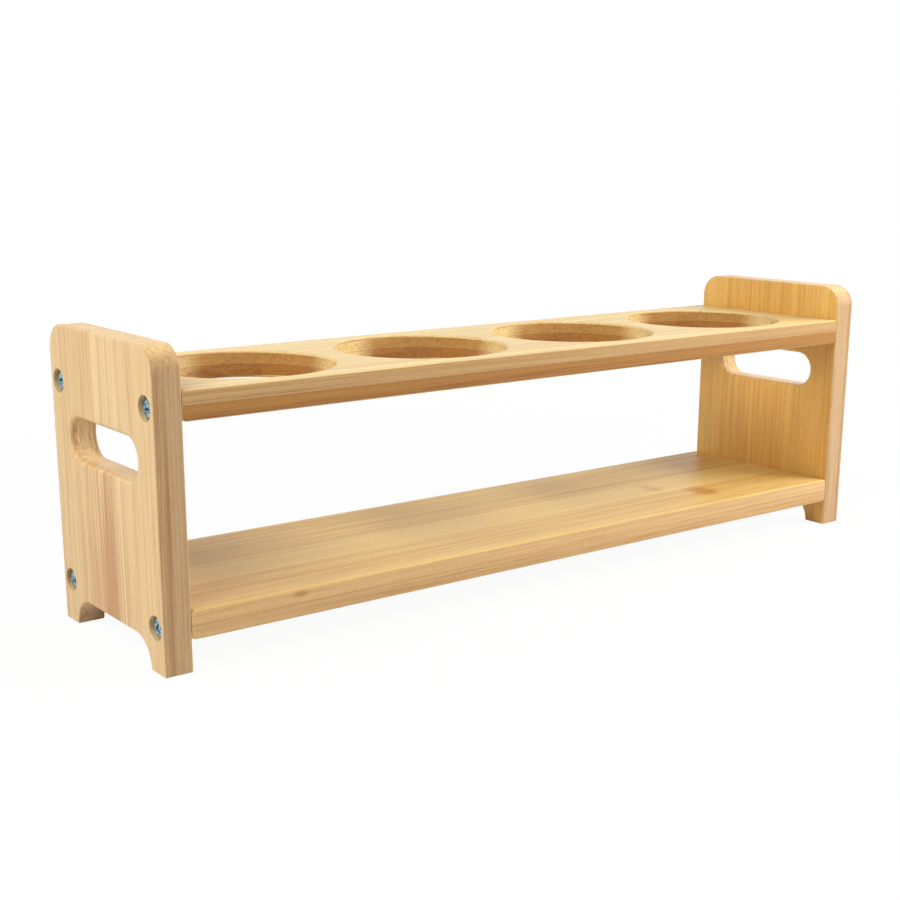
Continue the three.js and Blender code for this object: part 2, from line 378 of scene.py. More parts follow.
def pilot_profile(depth, radius):
    """Section of a blind pilot hole from its rounded mouth to its flat bottom."""
    ease = PILOT_EASE * radius
    mouth = ((-ease, depth - ease), (ease, ease), QUARTER, 0, 1)
    corner = ((ease, ease), (ease, ease), math.pi, 1.5 * math.pi, -1)
    return arc_path([mouth, corner], EASE_STEPS)


class Skin:
    """Closed surface of one wooden piece, gathered patch by patch with exact normals."""

    def __init__(self, origin, axes):
        self.origin = np.array(origin, float)
        self.axes = np.array(axes, float)
        self.points = np.zeros((0, 3))
        self.normals = np.zeros((0, 3))
        self.faces = []
        self.routed = []

    def sweep(self, loop, profile, origin=None, axes=None):
        """Carries a profile round a closed loop and returns its vertex numbers and quads.

        A point is loop point + loop normal * profile offset, at the profile's height. Its normal is
        loop normal * the profile normal's offset part, with the profile normal's height part. The
        profile has one section for the whole loop, or one for each of its points.
        """
        origin = self.origin if origin is None else np.array(origin, float)
        axes = self.axes if axes is None else np.array(axes, float)
        path, outward = loop
        section, slope = profile
        across = path[:, None] + outward[:, None] * section[..., :1]
        tilt = outward[:, None] * slope[None, :, :1]
        shape = across.shape[:2] + (1,)
        local = np.concatenate([across, np.broadcast_to(section[..., 1:], shape)], axis=-1)
        local_normal = np.concatenate([tilt, np.broadcast_to(slope[None, :, 1:], shape)], axis=-1)
        rows = len(self.points) + np.arange(shape[0] * shape[1]).reshape(shape[:2])
        self.points = np.concatenate([self.points, origin + local.reshape(-1, 3) @ axes])
        self.normals = np.concatenate([self.normals, local_normal.reshape(-1, 3) @ axes])
        after = np.roll(rows, -1, axis=0)
        quads = np.stack([rows[:, :-1], after[:, :-1], after[:, 1:], rows[:, 1:]], axis=-1)
        return rows, quads

    def fill(self, *rings):
        """Fills the flat face inside the first ring of vertices, leaving out the other rings."""
        numbers = np.concatenate(rings)
        triangles = tessellate_polygon([self.points[ring].tolist() for ring in rings])
        self.add(numbers[np.array(triangles)])

    def add(self, faces, routed=False):
        """Adds faces, turned so that they look along their exact normals, and marks routed ones."""
        faces = faces.reshape(-1, faces.shape[-1]).copy()
        corner = self.points[faces]
        facing = np.cross(corner[:, 1] - corner[:, 0], corner[:, -1] - corner[:, 0])
        backward = np.einsum("ij,ij->i", facing, self.normals[faces].sum(axis=1)) < 0
        faces[backward] = faces[backward][:, ::-1]
        self.faces += faces.tolist()
        self.routed += [float(routed)] * len(faces)

    def add_bored(self, quads):
        """Adds the quads of an eased opening and marks the straight wall between its two rims."""
        self.add(quads[:, EASE_STEPS], routed=True)
        self.add(np.delete(quads, EASE_STEPS, axis=1))

    def piece(self, part, material):
        """The finished object, with the exact normals and a mark on its routed walls."""
        mesh = bpy.data.meshes.new(piece_name(part))
        mesh.from_pydata(self.points.tolist(), [], self.faces)
        mesh.polygons.foreach_set("use_smooth", np.ones(len(mesh.polygons), bool))
        mesh.normals_split_custom_set_from_vertices(self.normals.tolist())
        mesh.attributes.new("routed", "FLOAT", "FACE").data.foreach_set("value", self.routed)
        return link_piece(part, mesh, material)


def piece_name(part):
    """Name of the piece that stands for a node, such as ShelfBoard for shelf_board."""
    return part.title().replace("_", "")


def link_piece(part, mesh, material):
    """Puts a mesh into the scene at the origin, in place of a node of the construction model."""
    mesh.materials.append(material)
    piece = bpy.data.objects.new(piece_name(part), mesh)
    bpy.context.scene.collection.objects.link(piece)
    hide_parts(part)
    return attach(piece, "root")


def rectangle_loop(width, height, corner):
    """Rectangle about its middle with round corners, anticlockwise from the lower right corner."""
    x = width / 2 - corner
    y = height / 2 - corner
    starts = {(x, -y): -QUARTER, (x, y): 0, (-x, y): QUARTER, (-x, -y): math.pi}
    arcs = [(middle, (corner, corner), start, start + QUARTER, 1)
            for middle, start in starts.items()]
    return arc_path(arcs, ARC_STEPS)


def panel_loop(shape, depth, height):
    """Side view of a panel: feet, arch and round top corners, anticlockwise from the front foot."""
    half = depth / 2
    foot = shape.foot_corner
    foot_radii = (foot, foot)
    inner = half - shape.foot_width + foot
    arch = half - shape.foot_width - shape.arch_sweep
    arch_radii = (shape.arch_sweep, shape.arch_height)
    spring = math.asin(foot / shape.arch_height)
    top = shape.panel_corner
    top_radii = (top, top)
    arcs = [
        ((foot - half, foot), foot_radii, math.pi, 1.5 * math.pi, 1),
        ((-inner, foot), foot_radii, -QUARTER, 0, 1),
        ((-arch, 0), arch_radii, math.pi - spring, QUARTER, -1),
        ((arch, 0), arch_radii, QUARTER, spring, -1),
        ((inner, foot), foot_radii, math.pi, 1.5 * math.pi, 1),
        ((half - foot, foot), foot_radii, -QUARTER, 0, 1),
        ((half - top, height - top), top_radii, 0, QUARTER, 1),
        ((top - half, height - top), top_radii, QUARTER, math.pi, 1),
    ]
    return arc_path(arcs, ARC_STEPS)


def slot_loop(shape, middle_height):
    """Hand slot: straight sides and half round ends, with normals into the slot."""
    radius = shape.slot_height / 2
    end = shape.slot_length / 2 - radius
    right = ((end, middle_height), (radius, radius), -QUARTER, QUARTER, -1)
    left = ((-end, middle_height), (radius, radius), QUARTER, 1.5 * math.pi, -1)
    return arc_path([right, left], 2 * ARC_STEPS)


def screw_axes(side, level):
    """Where the two screws in one end of a board run: front to back and height of each axis."""
    boxes = [corners(f"{side}_{level}_{place}_screw") for place in PLACES]
    return [tuple((low + high)[1:] / 2) for low, high in boxes]


def board_piece(part, level, holes, shape, material):
    """A board with rounded arrises, round holes through it and a pilot hole for each screw.

    Its front view is carried from front to back, and the flat top, underside and ends are closed
    round the holes that open in them.
    """
    low, high = corners(part)
    width, depth, thickness = high - low
    width += 2 * shape.joint_play
    middle = (low + high) / 2
    skin = Skin((middle[0], low[1], middle[2]), (X, Z, Y))
    loop = rectangle_loop(width, thickness, shape.board_end_ease)
    ease = shape.board_ease + (shape.board_upright_ease - shape.board_ease) * loop[1][:, 0] ** 2
    rows, quads = skin.sweep(loop, edge_profile(depth, ease))
    columns = ARC_STEPS + (ARC_STEPS + 1) * np.arange(4)
    flats = {side: [quads[column, EASE_STEPS]]
             for side, column in zip(("right", "top", "left", "underside"), columns)}
    rounded = np.ones(quads.shape[:2], bool)
    rounded[columns, EASE_STEPS] = False
    skin.add(quads[rounded])
    skin.fill(rows[:, 0])
    skin.fill(rows[:, -1])
    rim = edge_profile(thickness, shape.hole_ease)
    for centre in holes:
        hole_rows, hole_quads = skin.sweep(ring_path(centre, shape.hole_diameter / 2), rim,
                                           (0, 0, low[2]), (X, Y, Z))
        skin.add_bored(hole_quads)
        flats["top"].append(hole_rows[:, 0])
        flats["underside"].append(hole_rows[:, -1])
    for side in SIDES:
        flats[side] += pilot_mouths(skin, flats[side][0], side, level, shape)
    for rings in flats.values():
        skin.fill(*rings)
    return skin.piece(part, material)


def pilot_mouths(skin, end_face, side, level, shape):
    """Sinks two blind pilot holes in the end of a board and returns their mouths."""
    sign = SIDES[side]
    face = skin.points[end_face[0], 0]
    low, high = corners(f"{side}_{level}_front_screw")
    tip = low[0] if sign > 0 else high[0]
    depth = abs(face - tip) + shape.seat_gap
    radius = shape.shank_hole / 2
    mouths = []
    for centre in screw_axes(side, level):
        rows, quads = skin.sweep(ring_path(centre, radius), pilot_profile(depth, radius),
                                 (face - sign * depth, 0, 0), (Y, Z, sign * X))
        skin.add(quads, routed=True)
        skin.fill(rows[:, -1])
        mouths.append(rows[:, 0])
    return mouths


def panel_piece(side, shape, screw, material):
    """An end panel: rounded outline with feet, hand slot, and a stepped hole for each screw."""
    sign = SIDES[side]
    part = f"{side}_end_panel"
    low, high = corners(part)
    thickness, depth, height = high - low
    inner_face = low[0] if sign > 0 else high[0]
    screw_low, screw_high = corners(f"{side}_top_front_screw")
    crown = screw_high[0] if sign > 0 else screw_low[0]
    floor = abs(crown - inner_face) - screw.head_height - shape.seat_gap
    slot_middle = corners("bottle_board")[0][2] - shape.slot_drop - shape.slot_height / 2
    skin = Skin((inner_face, 0, low[2]), (Y, Z, sign * X))
    bore = counterbore_profile(shape, thickness, floor)
    outline, outline_quads = skin.sweep(panel_loop(shape, depth, height),
                                        edge_profile(thickness, shape.panel_ease))
    skin.add(outline_quads)
    cuts = [(slot_loop(shape, slot_middle), edge_profile(thickness, shape.slot_ease))]
    for level in LEVELS:
        cuts += [(ring_path(centre, shape.counterbore / 2), bore)
                 for centre in screw_axes(side, level)]
    rings = [outline]
    for cut in cuts:
        rows, quads = skin.sweep(*cut)
        skin.add_bored(quads)
        rings.append(rows)
    skin.fill(*[ring[:, 0] for ring in rings])
    skin.fill(*[ring[:, -1] for ring in rings])
    return skin.piece(part, material)


def screw_sections(screw, reach):
    """Radius and height of a screw's rings, from the crown to the point.

    The crown is an ellipse over the rim, the underside is flat, the shank is straight, and the
    point runs to nothing over its length. Heights are measured from the seat, with the shank below
    nought.
    """
    head = screw.head_diameter / 2
    core = screw.core_diameter / 2
    dome = np.linspace(0, 1, HEAD_ROWS + 1)[1:]
    crown = screw.head_rim + (screw.head_height - screw.head_rim) * np.sqrt(1 - dome ** 2)
    neck = np.linspace(head, core, NECK_ROWS + 1)
    straight = reach - screw.point_length
    shank = np.linspace(0, straight, int(straight / screw.thread_pitch * THREAD_ROWS) + 1)[1:]
    point = np.linspace(0, 1, POINT_ROWS + 1)[1:-1]
    radius = np.concatenate([head * dome, neck, np.full(len(shank), core), core * (1 - point)])
    below = np.concatenate([shank, straight + screw.point_length * point])
    return radius, np.concatenate([crown, np.zeros(len(neck)), -below])


def cross_recess(screw, across, along):
    """Depth of the cross recess below the crown at points of the head.

    It is full within the tip width, runs out in a straight slope to the span of the wings, and
    falls from nothing to full within a narrow slope at the side of a wing.
    """
    wing = np.maximum(abs(across), abs(along))
    side = np.minimum(abs(across), abs(along))
    run_out = (screw.recess_span - 2 * wing) / (screw.recess_span - screw.recess_tip)
    wall = (screw.recess_width / 2 - side) / screw.recess_slope
    return screw.recess_depth * np.clip(run_out, 0, 1) * np.clip(wall, 0, 1)


def screw_rings(screw, reach):
    """Points of a screw's rings about its axis, one row for each ring.

    The thread adds its height times a narrow hump of the angle less the turn that the depth has
    made. It grows over the first pitch below the head and shrinks with the point.
    """
    radius, height = screw_sections(screw, reach)
    turned = np.arange(SCREW_STEPS) * TURN / SCREW_STEPS
    phase = turned - TURN * height[:, None] / screw.thread_pitch
    hump = (0.5 + 0.5 * np.cos(phase)) ** THREAD_SHARPNESS
    share = np.clip(-height / screw.thread_pitch, 0, 1) * radius / (screw.core_diameter / 2)
    ridge = (screw.shank_diameter - screw.core_diameter) / 2 * share
    reached = radius[:, None] + ridge[:, None] * hump
    across = reached * np.cos(turned)
    along = reached * np.sin(turned)
    sunk = cross_recess(screw, across, along) * (height > screw.head_rim)[:, None]
    return np.stack([across, along, height[:, None] - sunk], axis=-1)


def screw_piece(part, sign, turn, screw, material):
    """A screw as rings between a pole in its cross and a pole at its point."""
    low, high = corners(part)
    crown_x, tip_x = (high[0], low[0]) if sign > 0 else (low[0], high[0])
    reach = abs(crown_x - tip_x) - screw.head_height
    rings = screw_rings(screw, reach)
    count = rings.shape[0] * SCREW_STEPS
    poles = [(0, 0, screw.head_height - screw.recess_depth), (0, 0, -reach)]
    local = np.concatenate([rings.reshape(-1, 3), poles])
    seat = np.array([crown_x - sign * screw.head_height, *(low + high)[1:] / 2])
    cosine, sine = math.cos(turn), math.sin(turn)
    upright = sign * Y * cosine + Z * sine
    aside = Z * cosine - sign * Y * sine
    points = seat + local @ np.array([upright, aside, sign * X])
    rows = np.arange(count).reshape(-1, SCREW_STEPS)
    after = np.roll(rows, -1, axis=1)
    quads = np.stack([rows[:-1], rows[1:], after[1:], after[:-1]], axis=-1).reshape(-1, 4)
    crown = np.stack([np.full(SCREW_STEPS, count), rows[0], after[0]], axis=-1)
    point = np.stack([np.full(SCREW_STEPS, count + 1), after[-1], rows[-1]], axis=-1)
    mesh = bpy.data.meshes.new(piece_name(part))
    mesh.from_pydata(points.tolist(), [], quads.tolist() + crown.tolist() + point.tolist())
    mesh.polygons.foreach_set("use_smooth", np.ones(len(mesh.polygons), bool))
    mesh.set_sharp_from_angle(angle=SHARP_ANGLE)
    return link_piece(part, mesh, material)


def node(tree, kind, inputs=None, stops=(), **settings):
    """Adds a node to a tree.

    Settings are the node's own properties. Inputs go to its sockets by identifier: a plain value
    is set, a socket is linked, and of a node the first output in use is linked. Stops are the
    places and colours of a ramp.
    """
    made = tree.nodes.new(kind)
    for name, value in settings.items():
        setattr(made, name, value)
    for name, value in (inputs or {}).items():
        socket = next(each for each in made.inputs if each.identifier == name)
        if isinstance(value, bpy.types.Node):
            value = next(each for each in value.outputs if each.enabled)
        if isinstance(value, bpy.types.NodeSocket):
            tree.links.new(value, socket)
        else:
            socket.default_value = value
    for _ in stops[2:]:
        made.color_ramp.elements.new(1)
    for number, (place, shade) in enumerate(stops):
        made.color_ramp.elements[number].position = place
        made.color_ramp.elements[number].color = shade
    return made


def new_material(name):
    """A material with an empty node tree."""
    material = bpy.data.materials.new(name)
    material.use_nodes = True
    material.node_tree.nodes.clear()
    return material


def strip_grain(tree, place, bamboo, upright, seed):
    """Grain of glued strips, with its own shift in each strip and a slight sway.

    Returns the place in millimetres with the grain along X, the noise of each kind of mark, and the
    tone, a weighted sum of the strip's own tone and its marks that lies about the middle.
    """
    grain = node(tree, "ShaderNodeMapping", {
        "Vector": place,
        "Rotation": (0, QUARTER if upright else 0, 0),
        "Scale": (1 / MM,) * 3,
    })
    strip_place = node(tree, "ShaderNodeVectorMath", {
        "Vector": grain,
        "Vector_001": (0, MM / bamboo.strip_width, MM / PLY),
        "Vector_002": (0, bamboo.strip_shift / bamboo.strip_width, 0),
    }, operation="MULTIPLY_ADD")
    strip_number = node(tree, "ShaderNodeVectorMath", {"Vector": strip_place}, operation="FLOOR")
    strip = node(tree, "ShaderNodeTexWhiteNoise", {"Vector": strip_number, "W": seed},
                 noise_dimensions="4D")
    moved = node(tree, "ShaderNodeVectorMath", {
        "Vector": strip.outputs["Color"], "Vector_001": STRIP_JUMP, "Vector_002": grain,
    }, operation="MULTIPLY_ADD")
    sway = node(tree, "ShaderNodeVectorMath", {"Vector": moved, "Vector_001": SWAY_LENGTHS},
                operation="DIVIDE")
    swayed = node(tree, "ShaderNodeTexNoise", {"Vector": sway, "Scale": 1, "Detail": 1})
    settled = node(tree, "ShaderNodeVectorMath", {
        "Vector": swayed.outputs["Color"], "Vector_001": SWAY, "Vector_002": moved,
    }, operation="MULTIPLY_ADD")
    marks = {}
    for mark, reach in GRAIN_LENGTHS.items():
        width = round(getattr(bamboo, f"{mark}_width") / MM, 2)
        spread = node(tree, "ShaderNodeVectorMath", {
            "Vector": settled, "Vector_001": (reach, width, width)}, operation="DIVIDE")
        marks[mark] = node(tree, "ShaderNodeTexNoise", {"Vector": spread, "Scale": 1, "Detail": 2})
    tone = node(tree, "ShaderNodeMath", {
        "Value": strip.outputs["Value"],
        "Value_001": STRIP_WEIGHT,
        "Value_002": MIDDLE_TONE - (STRIP_WEIGHT + sum(GRAIN_WEIGHTS.values())) / 2,
    }, operation="MULTIPLY_ADD")
    for mark, weight in GRAIN_WEIGHTS.items():
        tone = node(tree, "ShaderNodeMath", {
            "Value": marks[mark], "Value_001": weight, "Value_002": tone}, operation="MULTIPLY_ADD")
    return grain, marks, tone


def cut_shares(tree, place, upright, seam):
    """What the cut of a surface makes of it, as shares from nought to one.

    They say how far it is an edge, how far a routed wall shows its own darker colour, partly
    painted shade, rather than the face colour, painted light where it faces along a fixed slant,
    and whether it looks at the middle of the rack, where a panel gets painted shade, lies in the
    ply nearer to the middle than the seam, or on the seam.
    """
    axis = "X" if upright else "Z"
    geometry = node(tree, "ShaderNodeNewGeometry")
    normal = node(tree, "ShaderNodeSeparateXYZ", {"Vector": geometry.outputs["Normal"]})
    where = node(tree, "ShaderNodeSeparateXYZ", {"Vector": place})
    facing = node(tree, "ShaderNodeMath", {"Value": normal.outputs["Y"]}, operation="ABSOLUTE")
    edge = node(tree, "ShaderNodeMapRange", dict(zip(RANGE, (facing, *EDGE_TURN))))
    # Painted light and shade on routed walls: pale where the normal lies along the fixed slant,
    # darker elsewhere
    along = node(tree, "ShaderNodeVectorMath", {
        "Vector": geometry.outputs["Normal"], "Vector_001": LIT_WALL_AXIS}, operation="DOT_PRODUCT")
    lit_side = node(tree, "ShaderNodeMath", {"Value": along}, operation="ABSOLUTE")
    wall = node(tree, "ShaderNodeMapRange", dict(zip(RANGE, (lit_side, *WALL_TURN))))
    side = node(tree, "ShaderNodeMath", {"Value": where.outputs[axis]}, operation="SIGN")
    outward = node(tree, "ShaderNodeMath", {"Value": normal.outputs[axis], "Value_001": side},
                   operation="MULTIPLY")
    inside = node(tree, "ShaderNodeMath", {"Value": outward, "Value_001": INSIDE_TURN},
                  operation="LESS_THAN")
    reach = node(tree, "ShaderNodeMath", {"Value": where.outputs[axis]}, operation="ABSOLUTE")
    nearer = node(tree, "ShaderNodeMath", {"Value": reach, "Value_001": seam},
                  operation="LESS_THAN")
    glue = node(tree, "ShaderNodeMath", {
        "Value": reach, "Value_001": seam, "Value_002": SEAM_HALF}, operation="COMPARE")
    return {"edge": edge, "wall": wall, "inside": inside, "nearer": nearer, "glue": glue}


def scarred(tree, wood, scar_shade, scars, grain, streaks):
    """Wood with scars, each an ellipsoid of shade whose rim the streaks fray."""
    for middle, extent, depth in scars:
        away = node(tree, "ShaderNodeVectorMath", {"Vector": grain, "Vector_001": middle},
                    operation="SUBTRACT")
        share = node(tree, "ShaderNodeVectorMath", {"Vector": away, "Vector_001": extent},
                     operation="DIVIDE")
        distance = node(tree, "ShaderNodeVectorMath", {"Vector": share}, operation="LENGTH")
        ragged = node(tree, "ShaderNodeMath", {
            "Value": streaks, "Value_001": SCAR_RAGGEDNESS, "Value_002": distance,
        }, operation="MULTIPLY_ADD")
        mark = node(tree, "ShaderNodeMapRange", dict(zip(RANGE, (ragged, *SCAR_RANGE, 0, depth))),
                    interpolation_type="SMOOTHSTEP")
        wood = node(tree, "ShaderNodeMix", {
            "Factor_Float": mark, "A_Color": wood, "B_Color": scar_shade}, data_type="RGBA")
    return wood


def laminated_bamboo(name, bamboo, upright, seam, face, edge, wall, seed, scars=()):
    """Bamboo strips glued into plies, planed, sanded and lacquered.

    The eye gets strips of slightly different tone, long fine streaks, fibre bundles that a router
    leaves as dark dots and dashes, scars of the stem's joints, and a satin sheen. The grain runs
    along X, or along Z where the piece stands upright. Faces, edges and routed walls have a pair of
    colours each: a face has the second where it looks at the middle of the rack, and an edge or a
    wall has the second in the ply nearer to the middle than the seam. On a panel the second face
    colour is partly painted shade on its inner face. A routed wall takes the face colour as painted
    light where it faces along a fixed slant, and its own darker colour, partly painted shade,
    elsewhere.
    """
    material = new_material(name)
    tree = material.node_tree
    place = node(tree, "ShaderNodeTexCoord").outputs["Object"]
    grain, marks, tone = strip_grain(tree, place, bamboo, upright, seed)
    shares = cut_shares(tree, place, upright, seam)
    routed = node(tree, "ShaderNodeAttribute", attribute_name="routed").outputs["Fac"]
    face_contrast = node(tree, "ShaderNodeMapRange", {
        "Value": shares["inside"], "To Min": FACE_CONTRAST, "To Max": INSIDE_CONTRAST})
    contrast = node(tree, "ShaderNodeMapRange", {
        "Value": shares["edge"], "To Min": face_contrast, "To Max": EDGE_CONTRAST})
    off_middle = node(tree, "ShaderNodeMath", {"Value": tone, "Value_001": MIDDLE_TONE},
                      operation="SUBTRACT")
    stretched = node(tree, "ShaderNodeMath", {
        "Value": off_middle, "Value_001": contrast, "Value_002": MIDDLE_TONE,
    }, operation="MULTIPLY_ADD")
    shades = (bamboo.dark_grain, bamboo.common_grain, bamboo.pale_grain)
    shade = node(tree, "ShaderNodeValToRGB", {"Fac": stretched}, tuple(zip(GRAIN_STOPS, shades)))
    speck = node(tree, "ShaderNodeMapRange", dict(zip(RANGE, (marks["bundle"], *SPECK_RANGE))))
    speck_depth = node(tree, "ShaderNodeMapRange", {
        "Value": routed, "To Min": PLANED_SPECKS, "To Max": ROUTED_SPECKS})
    specks = node(tree, "ShaderNodeMath", {"Value": speck, "Value_001": speck_depth},
                  operation="MULTIPLY")
    speckled = node(tree, "ShaderNodeMix", {
        "Factor_Float": specks, "A_Color": shade, "B_Color": bamboo.fibre}, data_type="RGBA")
    glue = node(tree, "ShaderNodeMath", {
        "Value": shares["glue"], "Value_001": 0 if upright else SEAM_SHADE}, operation="MULTIPLY")
    glued = node(tree, "ShaderNodeMix", {
        "Factor_Float": glue, "A_Color": speckled, "B_Color": bamboo.scar}, data_type="RGBA")
    marked = scarred(tree, glued, bamboo.scar, scars, grain, marks["streak"])
    pairs = {"face": ("inside", face), "edge": ("nearer", edge), "wall": ("nearer", wall)}
    tints = {kind: node(tree, "ShaderNodeMix", {
        "Factor_Float": shares[chosen], "A_Color": pair[0], "B_Color": pair[1]}, data_type="RGBA")
        for kind, (chosen, pair) in pairs.items()}
    sawn, bored = (node(tree, "ShaderNodeMix", {
        "Factor_Float": shares[kind], "A_Color": tints["face"], "B_Color": tints[kind],
    }, data_type="RGBA") for kind in ("edge", "wall"))
    cut = node(tree, "ShaderNodeMix", {
        "Factor_Float": routed, "A_Color": sawn, "B_Color": bored}, data_type="RGBA")
    wood = node(tree, "ShaderNodeMix", {
        "Factor_Float": 1, "A_Color": cut, "B_Color": marked,
    }, data_type="RGBA", blend_type="MULTIPLY")
    height = node(tree, "ShaderNodeMath", {"Value": marks["fibre"], "Value_001": marks["streak"]},
                  operation="ADD")
    relief = node(tree, "ShaderNodeBump", {
        "Height": height, "Strength": RELIEF_STRENGTH, "Distance": FIBRE_RELIEF})
    sheen = node(tree, "ShaderNodeMapRange",
                 dict(zip(RANGE, (marks["fibre"], *NOISE_RANGE, *LACQUER_ROUGHNESS))))
    surface = node(tree, "ShaderNodeBsdfPrincipled", {
        "Base Color": wood, "Roughness": sheen, "Normal": relief, "IOR": LACQUER_IOR})
    node(tree, "ShaderNodeOutputMaterial", {"Surface": surface})
    return material


def zinc_plated_steel(screw):
    """Steel wood screws, rolled and zinc plated with a blue passivation.

    The eye gets a bright cold metal with faint clouding from the plating bath. Its pale clouds are
    partly painted glints, in place of the lamps that the metal doesn't mirror.
    """
    material = new_material("Zinc plated steel, blue passivated")
    tree = material.node_tree
    place = node(tree, "ShaderNodeTexCoord").outputs["Object"]
    cloud = node(tree, "ShaderNodeTexNoise", {"Vector": place, "Scale": 1 / CLOUD, "Detail": 2})
    shades = (screw.dark_plating, screw.pale_plating_and_glints)
    plating = node(tree, "ShaderNodeValToRGB", {"Fac": cloud}, tuple(zip(CLOUD_STOPS, shades)))
    gloss = node(tree, "ShaderNodeMapRange",
                 dict(zip(RANGE, (cloud, *NOISE_RANGE, *ZINC_ROUGHNESS))))
    surface = node(tree, "ShaderNodeBsdfPrincipled", {
        "Base Color": plating, "Roughness": gloss, "Metallic": 1})
    node(tree, "ShaderNodeOutputMaterial", {"Surface": surface})
    return material


class RACK_OT_bottle_board(bpy.types.Operator):
    """Make the board with the row of bottle holes"""
    bl_idname = "rack.bottle_board"
    bl_label = "Bottle Board"

    def execute(self, context):
        shape = context.scene.rack_shape
        bamboo = context.scene.rack_bamboo
        first = -(shape.hole_count - 1) / 2
        holes = [((first + number) * shape.hole_pitch, 0) for number in range(shape.hole_count)]
        seam = sum(corners("bottle_board"))[2] / 2
        material = laminated_bamboo(
            "Bamboo board, light over dark ply, sanded and lacquered", bamboo, upright=False,
            seam=seam, face=(bamboo.board_face, bamboo.lower_ply),
            edge=(bamboo.upper_ply, bamboo.lower_ply),
            wall=(bamboo.shaded_upper_wall, bamboo.shaded_lower_wall), seed=1)
        board_piece("bottle_board", "top", holes, shape, material)
        return {"FINISHED"}


class RACK_OT_shelf_board(bpy.types.Operator):
    """Make the plain board that the bottles stand on"""
    bl_idname = "rack.shelf_board"
    bl_label = "Shelf Board"

    def execute(self, context):
        bamboo = context.scene.rack_bamboo
        seam = sum(corners("shelf_board"))[2] / 2
        edges = (bamboo.shelf_edge, bamboo.shelf_lower_edge)
        material = laminated_bamboo(
            "Bamboo board, two like plies, sanded and lacquered", bamboo, upright=False, seam=seam,
            face=(bamboo.shelf_face, bamboo.shelf_face), edge=edges, wall=edges, seed=2,
            scars=SHELF_SCARS)
        board_piece("shelf_board", "shelf", [], context.scene.rack_shape, material)
        return {"FINISHED"}


class RACK_OT_end_panels(bpy.types.Operator):
    """Make the two end panels with their hand slots, feet and screw holes"""
    bl_idname = "rack.end_panels"
    bl_label = "End Panels"

    def execute(self, context):
        scene = context.scene
        bamboo = scene.rack_bamboo
        seam = sum(corners("right_end_panel"))[0] / 2
        material = laminated_bamboo(
            "Bamboo panel, upright grain, sanded and lacquered", bamboo, upright=True, seam=seam,
            # The inner faces get the darker copy of the bamboo, partly painted shade
            face=(bamboo.panel_face, bamboo.panel_inside),
            edge=(bamboo.panel_edge, bamboo.panel_edge),
            wall=(bamboo.panel_lip, bamboo.panel_lip), seed=3, scars=PANEL_SCARS)
        for side in SIDES:
            panel_piece(side, scene.rack_shape, scene.rack_screw, material)
        return {"FINISHED"}


class RACK_OT_screws(bpy.types.Operator):
    """Make the screws that hold the boards between the panels"""
    bl_idname = "rack.screws"
    bl_label = "Screws"

    def execute(self, context):
        screw = context.scene.rack_screw
        material = zinc_plated_steel(screw)
        places = [(side, level, place) for side in SIDES for level in LEVELS for place in PLACES]
        for number, (side, level, place) in enumerate(places):
            screw_piece(f"{side}_{level}_{place}_screw", SIDES[side], number * screw.turn, screw,
                        material)
        return {"FINISHED"}


class RACK_OT_stage(bpy.types.Operator):
    """Set the floor, the lamps and the camera"""
    bl_idname = "rack.stage"
    bl_label = "Studio"

    def execute(self, context):
        studio = context.scene.rack_studio
        set_floor()
        set_sky(studio.sky)
        for lamp, (place, size) in LAMPS.items():
            watts = getattr(studio, f"{lamp}_power")
            set_lamp(f"{lamp.title()} lamp", Vector(place), size, watts)
        set_camera(studio)
        context.scene.view_settings.view_transform = "Standard"
        return {"FINISHED"}


def seen_directly(tree):
    """One for rays from the camera, a mirror or glass, and nought for light on a surface."""
    path = node(tree, "ShaderNodeLightPath")
    seen = path.outputs["Is Camera Ray"]
    for kind in ("Is Glossy Ray", "Is Transmission Ray"):
        seen = node(tree, "ShaderNodeMath", {"Value": seen, "Value_001": path.outputs[kind]},
                    operation="MAXIMUM")
    return seen


def set_floor():
    """A white floor that looks as white as the sky, but for the shadow close to the rack."""
    mesh = bpy.data.meshes.new("Floor")
    corner = np.array([(-1, -1), (1, -1), (1, 1), (-1, 1)]) * FLOOR_HALF
    square = np.column_stack([corner, np.full(len(corner), -FLOOR_DROP)])
    mesh.from_pydata(square.tolist(), [], [(0, 1, 2, 3)])
    material = new_material("Paper sweep, matt white")
    mesh.materials.append(material)
    floor = bpy.data.objects.new("Floor", mesh)
    bpy.context.scene.collection.objects.link(floor)
    tree = material.node_tree
    place = node(tree, "ShaderNodeTexCoord").outputs["Object"]
    reach = node(tree, "ShaderNodeVectorMath", {"Vector": place}, operation="LENGTH")
    white_share = node(tree, "ShaderNodeMapRange",
                       dict(zip(RANGE, (reach, *WHITE_REACH, *WHITE_SHARE))))
    shown = node(tree, "ShaderNodeMath", {"Value": white_share, "Value_001": seen_directly(tree)},
                 operation="MULTIPLY")
    paper = node(tree, "ShaderNodeBsdfDiffuse", {"Color": linear(PAPER)})
    white = node(tree, "ShaderNodeEmission", {"Strength": 1})
    mixed = node(tree, "ShaderNodeMixShader", {"Fac": shown, "Shader": paper, "Shader_001": white})
    node(tree, "ShaderNodeOutputMaterial", {"Surface": mixed})


def set_sky(strength):
    """An even sky that lights the rack at its strength and looks white."""
    world = bpy.data.worlds.new("Sky")
    bpy.context.scene.world = world
    world.use_nodes = True
    tree = world.node_tree
    tree.nodes.clear()
    shown = node(tree, "ShaderNodeMapRange", {
        "Value": seen_directly(tree), "To Min": strength, "To Max": 1})
    sky = node(tree, "ShaderNodeBackground", {"Color": (1, 1, 1, 1), "Strength": shown})
    node(tree, "ShaderNodeOutputWorld", {"Surface": sky})


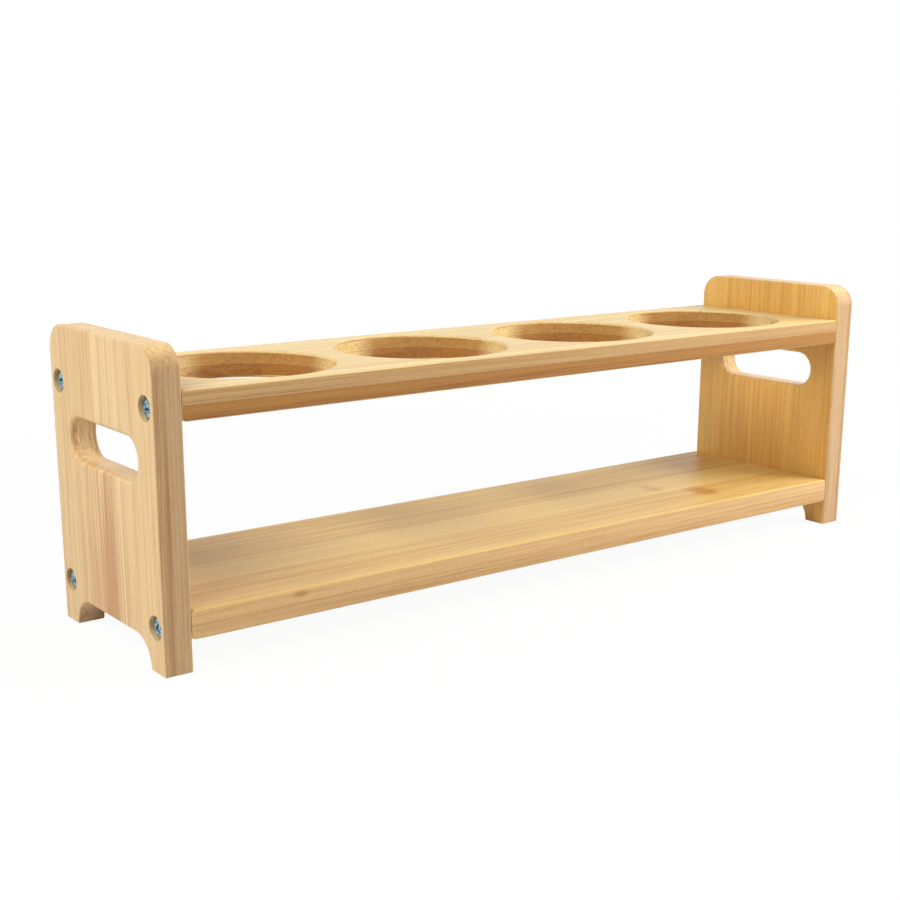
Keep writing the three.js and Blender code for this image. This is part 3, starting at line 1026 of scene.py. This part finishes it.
def set_lamp(name, place, size, watts):
    """A square softbox that looks at the middle of the rack."""
    lamp = bpy.data.lights.new(name, "AREA")
    lamp.energy = watts
    lamp.size = size
    holder = bpy.data.objects.new(name, lamp)
    holder.location = place
    # The lacquer mirrors the white room alone, so no lamp burns out a patch of it
    holder.visible_glossy = False
    aim = (CAD_BOX[0] + CAD_BOX[1]) / 2 - place
    holder.rotation_euler = aim.to_track_quat("-Z", "Y").to_euler()
    bpy.context.scene.collection.objects.link(holder)


def set_camera(studio):
    """A camera that stands back along its axis, with its place measured along its own axes."""
    bearing, lift = studio.azimuth, studio.elevation
    level_part = math.cos(lift)
    back = Vector((math.sin(bearing) * level_part, -math.cos(bearing) * level_part, math.sin(lift)))
    level = Vector((0, 0, 1)).cross(back).normalized()
    upright = back.cross(level)
    right = level * math.cos(studio.roll) + upright * math.sin(studio.roll)
    up = upright * math.cos(studio.roll) - level * math.sin(studio.roll)
    lens = bpy.data.cameras.new("Camera")
    lens.lens = studio.focal
    lens.sensor_width = SENSOR
    lens.shift_y = studio.rise
    camera = bpy.data.objects.new("Camera", lens)
    turned = Matrix((right, up, back)).transposed().to_4x4()
    standing = right * studio.aside + up * studio.above + back * studio.distance
    camera.matrix_world = Matrix.Translation(standing) @ turned
    bpy.context.scene.collection.objects.link(camera)
    bpy.context.scene.camera = camera


class RACK_PT_sidebar(bpy.types.Panel):
    """Operators and settings of the rack"""
    bl_idname = "RACK_PT_sidebar"
    bl_label = "Bottle Rack"
    bl_space_type = "VIEW_3D"
    bl_region_type = "UI"
    bl_category = "Rack"

    def draw(self, context):
        for operator in OPERATORS:
            self.layout.operator(operator.bl_idname)
        for name in SETTINGS:
            settings = getattr(context.scene, name)
            box = self.layout.box()
            for key in settings.__annotations__:
                box.prop(settings, key)


OPERATORS = (RACK_OT_bottle_board, RACK_OT_shelf_board, RACK_OT_end_panels, RACK_OT_screws,
             RACK_OT_stage)
SETTINGS = {"rack_shape": RackShape, "rack_screw": RackScrew, "rack_bamboo": RackBamboo,
            "rack_studio": RackStudio}


def register():
    """Registers the classes and hangs the settings on the scene."""
    for each in (*SETTINGS.values(), *OPERATORS, RACK_PT_sidebar):
        bpy.utils.register_class(each)
    for name, group in SETTINGS.items():
        setattr(bpy.types.Scene, name, PointerProperty(type=group))


def unregister():
    """Takes the settings and the classes away again."""
    for name in SETTINGS:
        delattr(bpy.types.Scene, name)
    for each in (*SETTINGS.values(), *OPERATORS, RACK_PT_sidebar):
        bpy.utils.unregister_class(each)


def main():
    """Builds the rack and its studio."""
    register()
    bpy.ops.rack.bottle_board()
    bpy.ops.rack.shelf_board()
    bpy.ops.rack.end_panels()
    bpy.ops.rack.screws()
    bpy.ops.rack.stage()


if __name__ == "__main__":
    main()
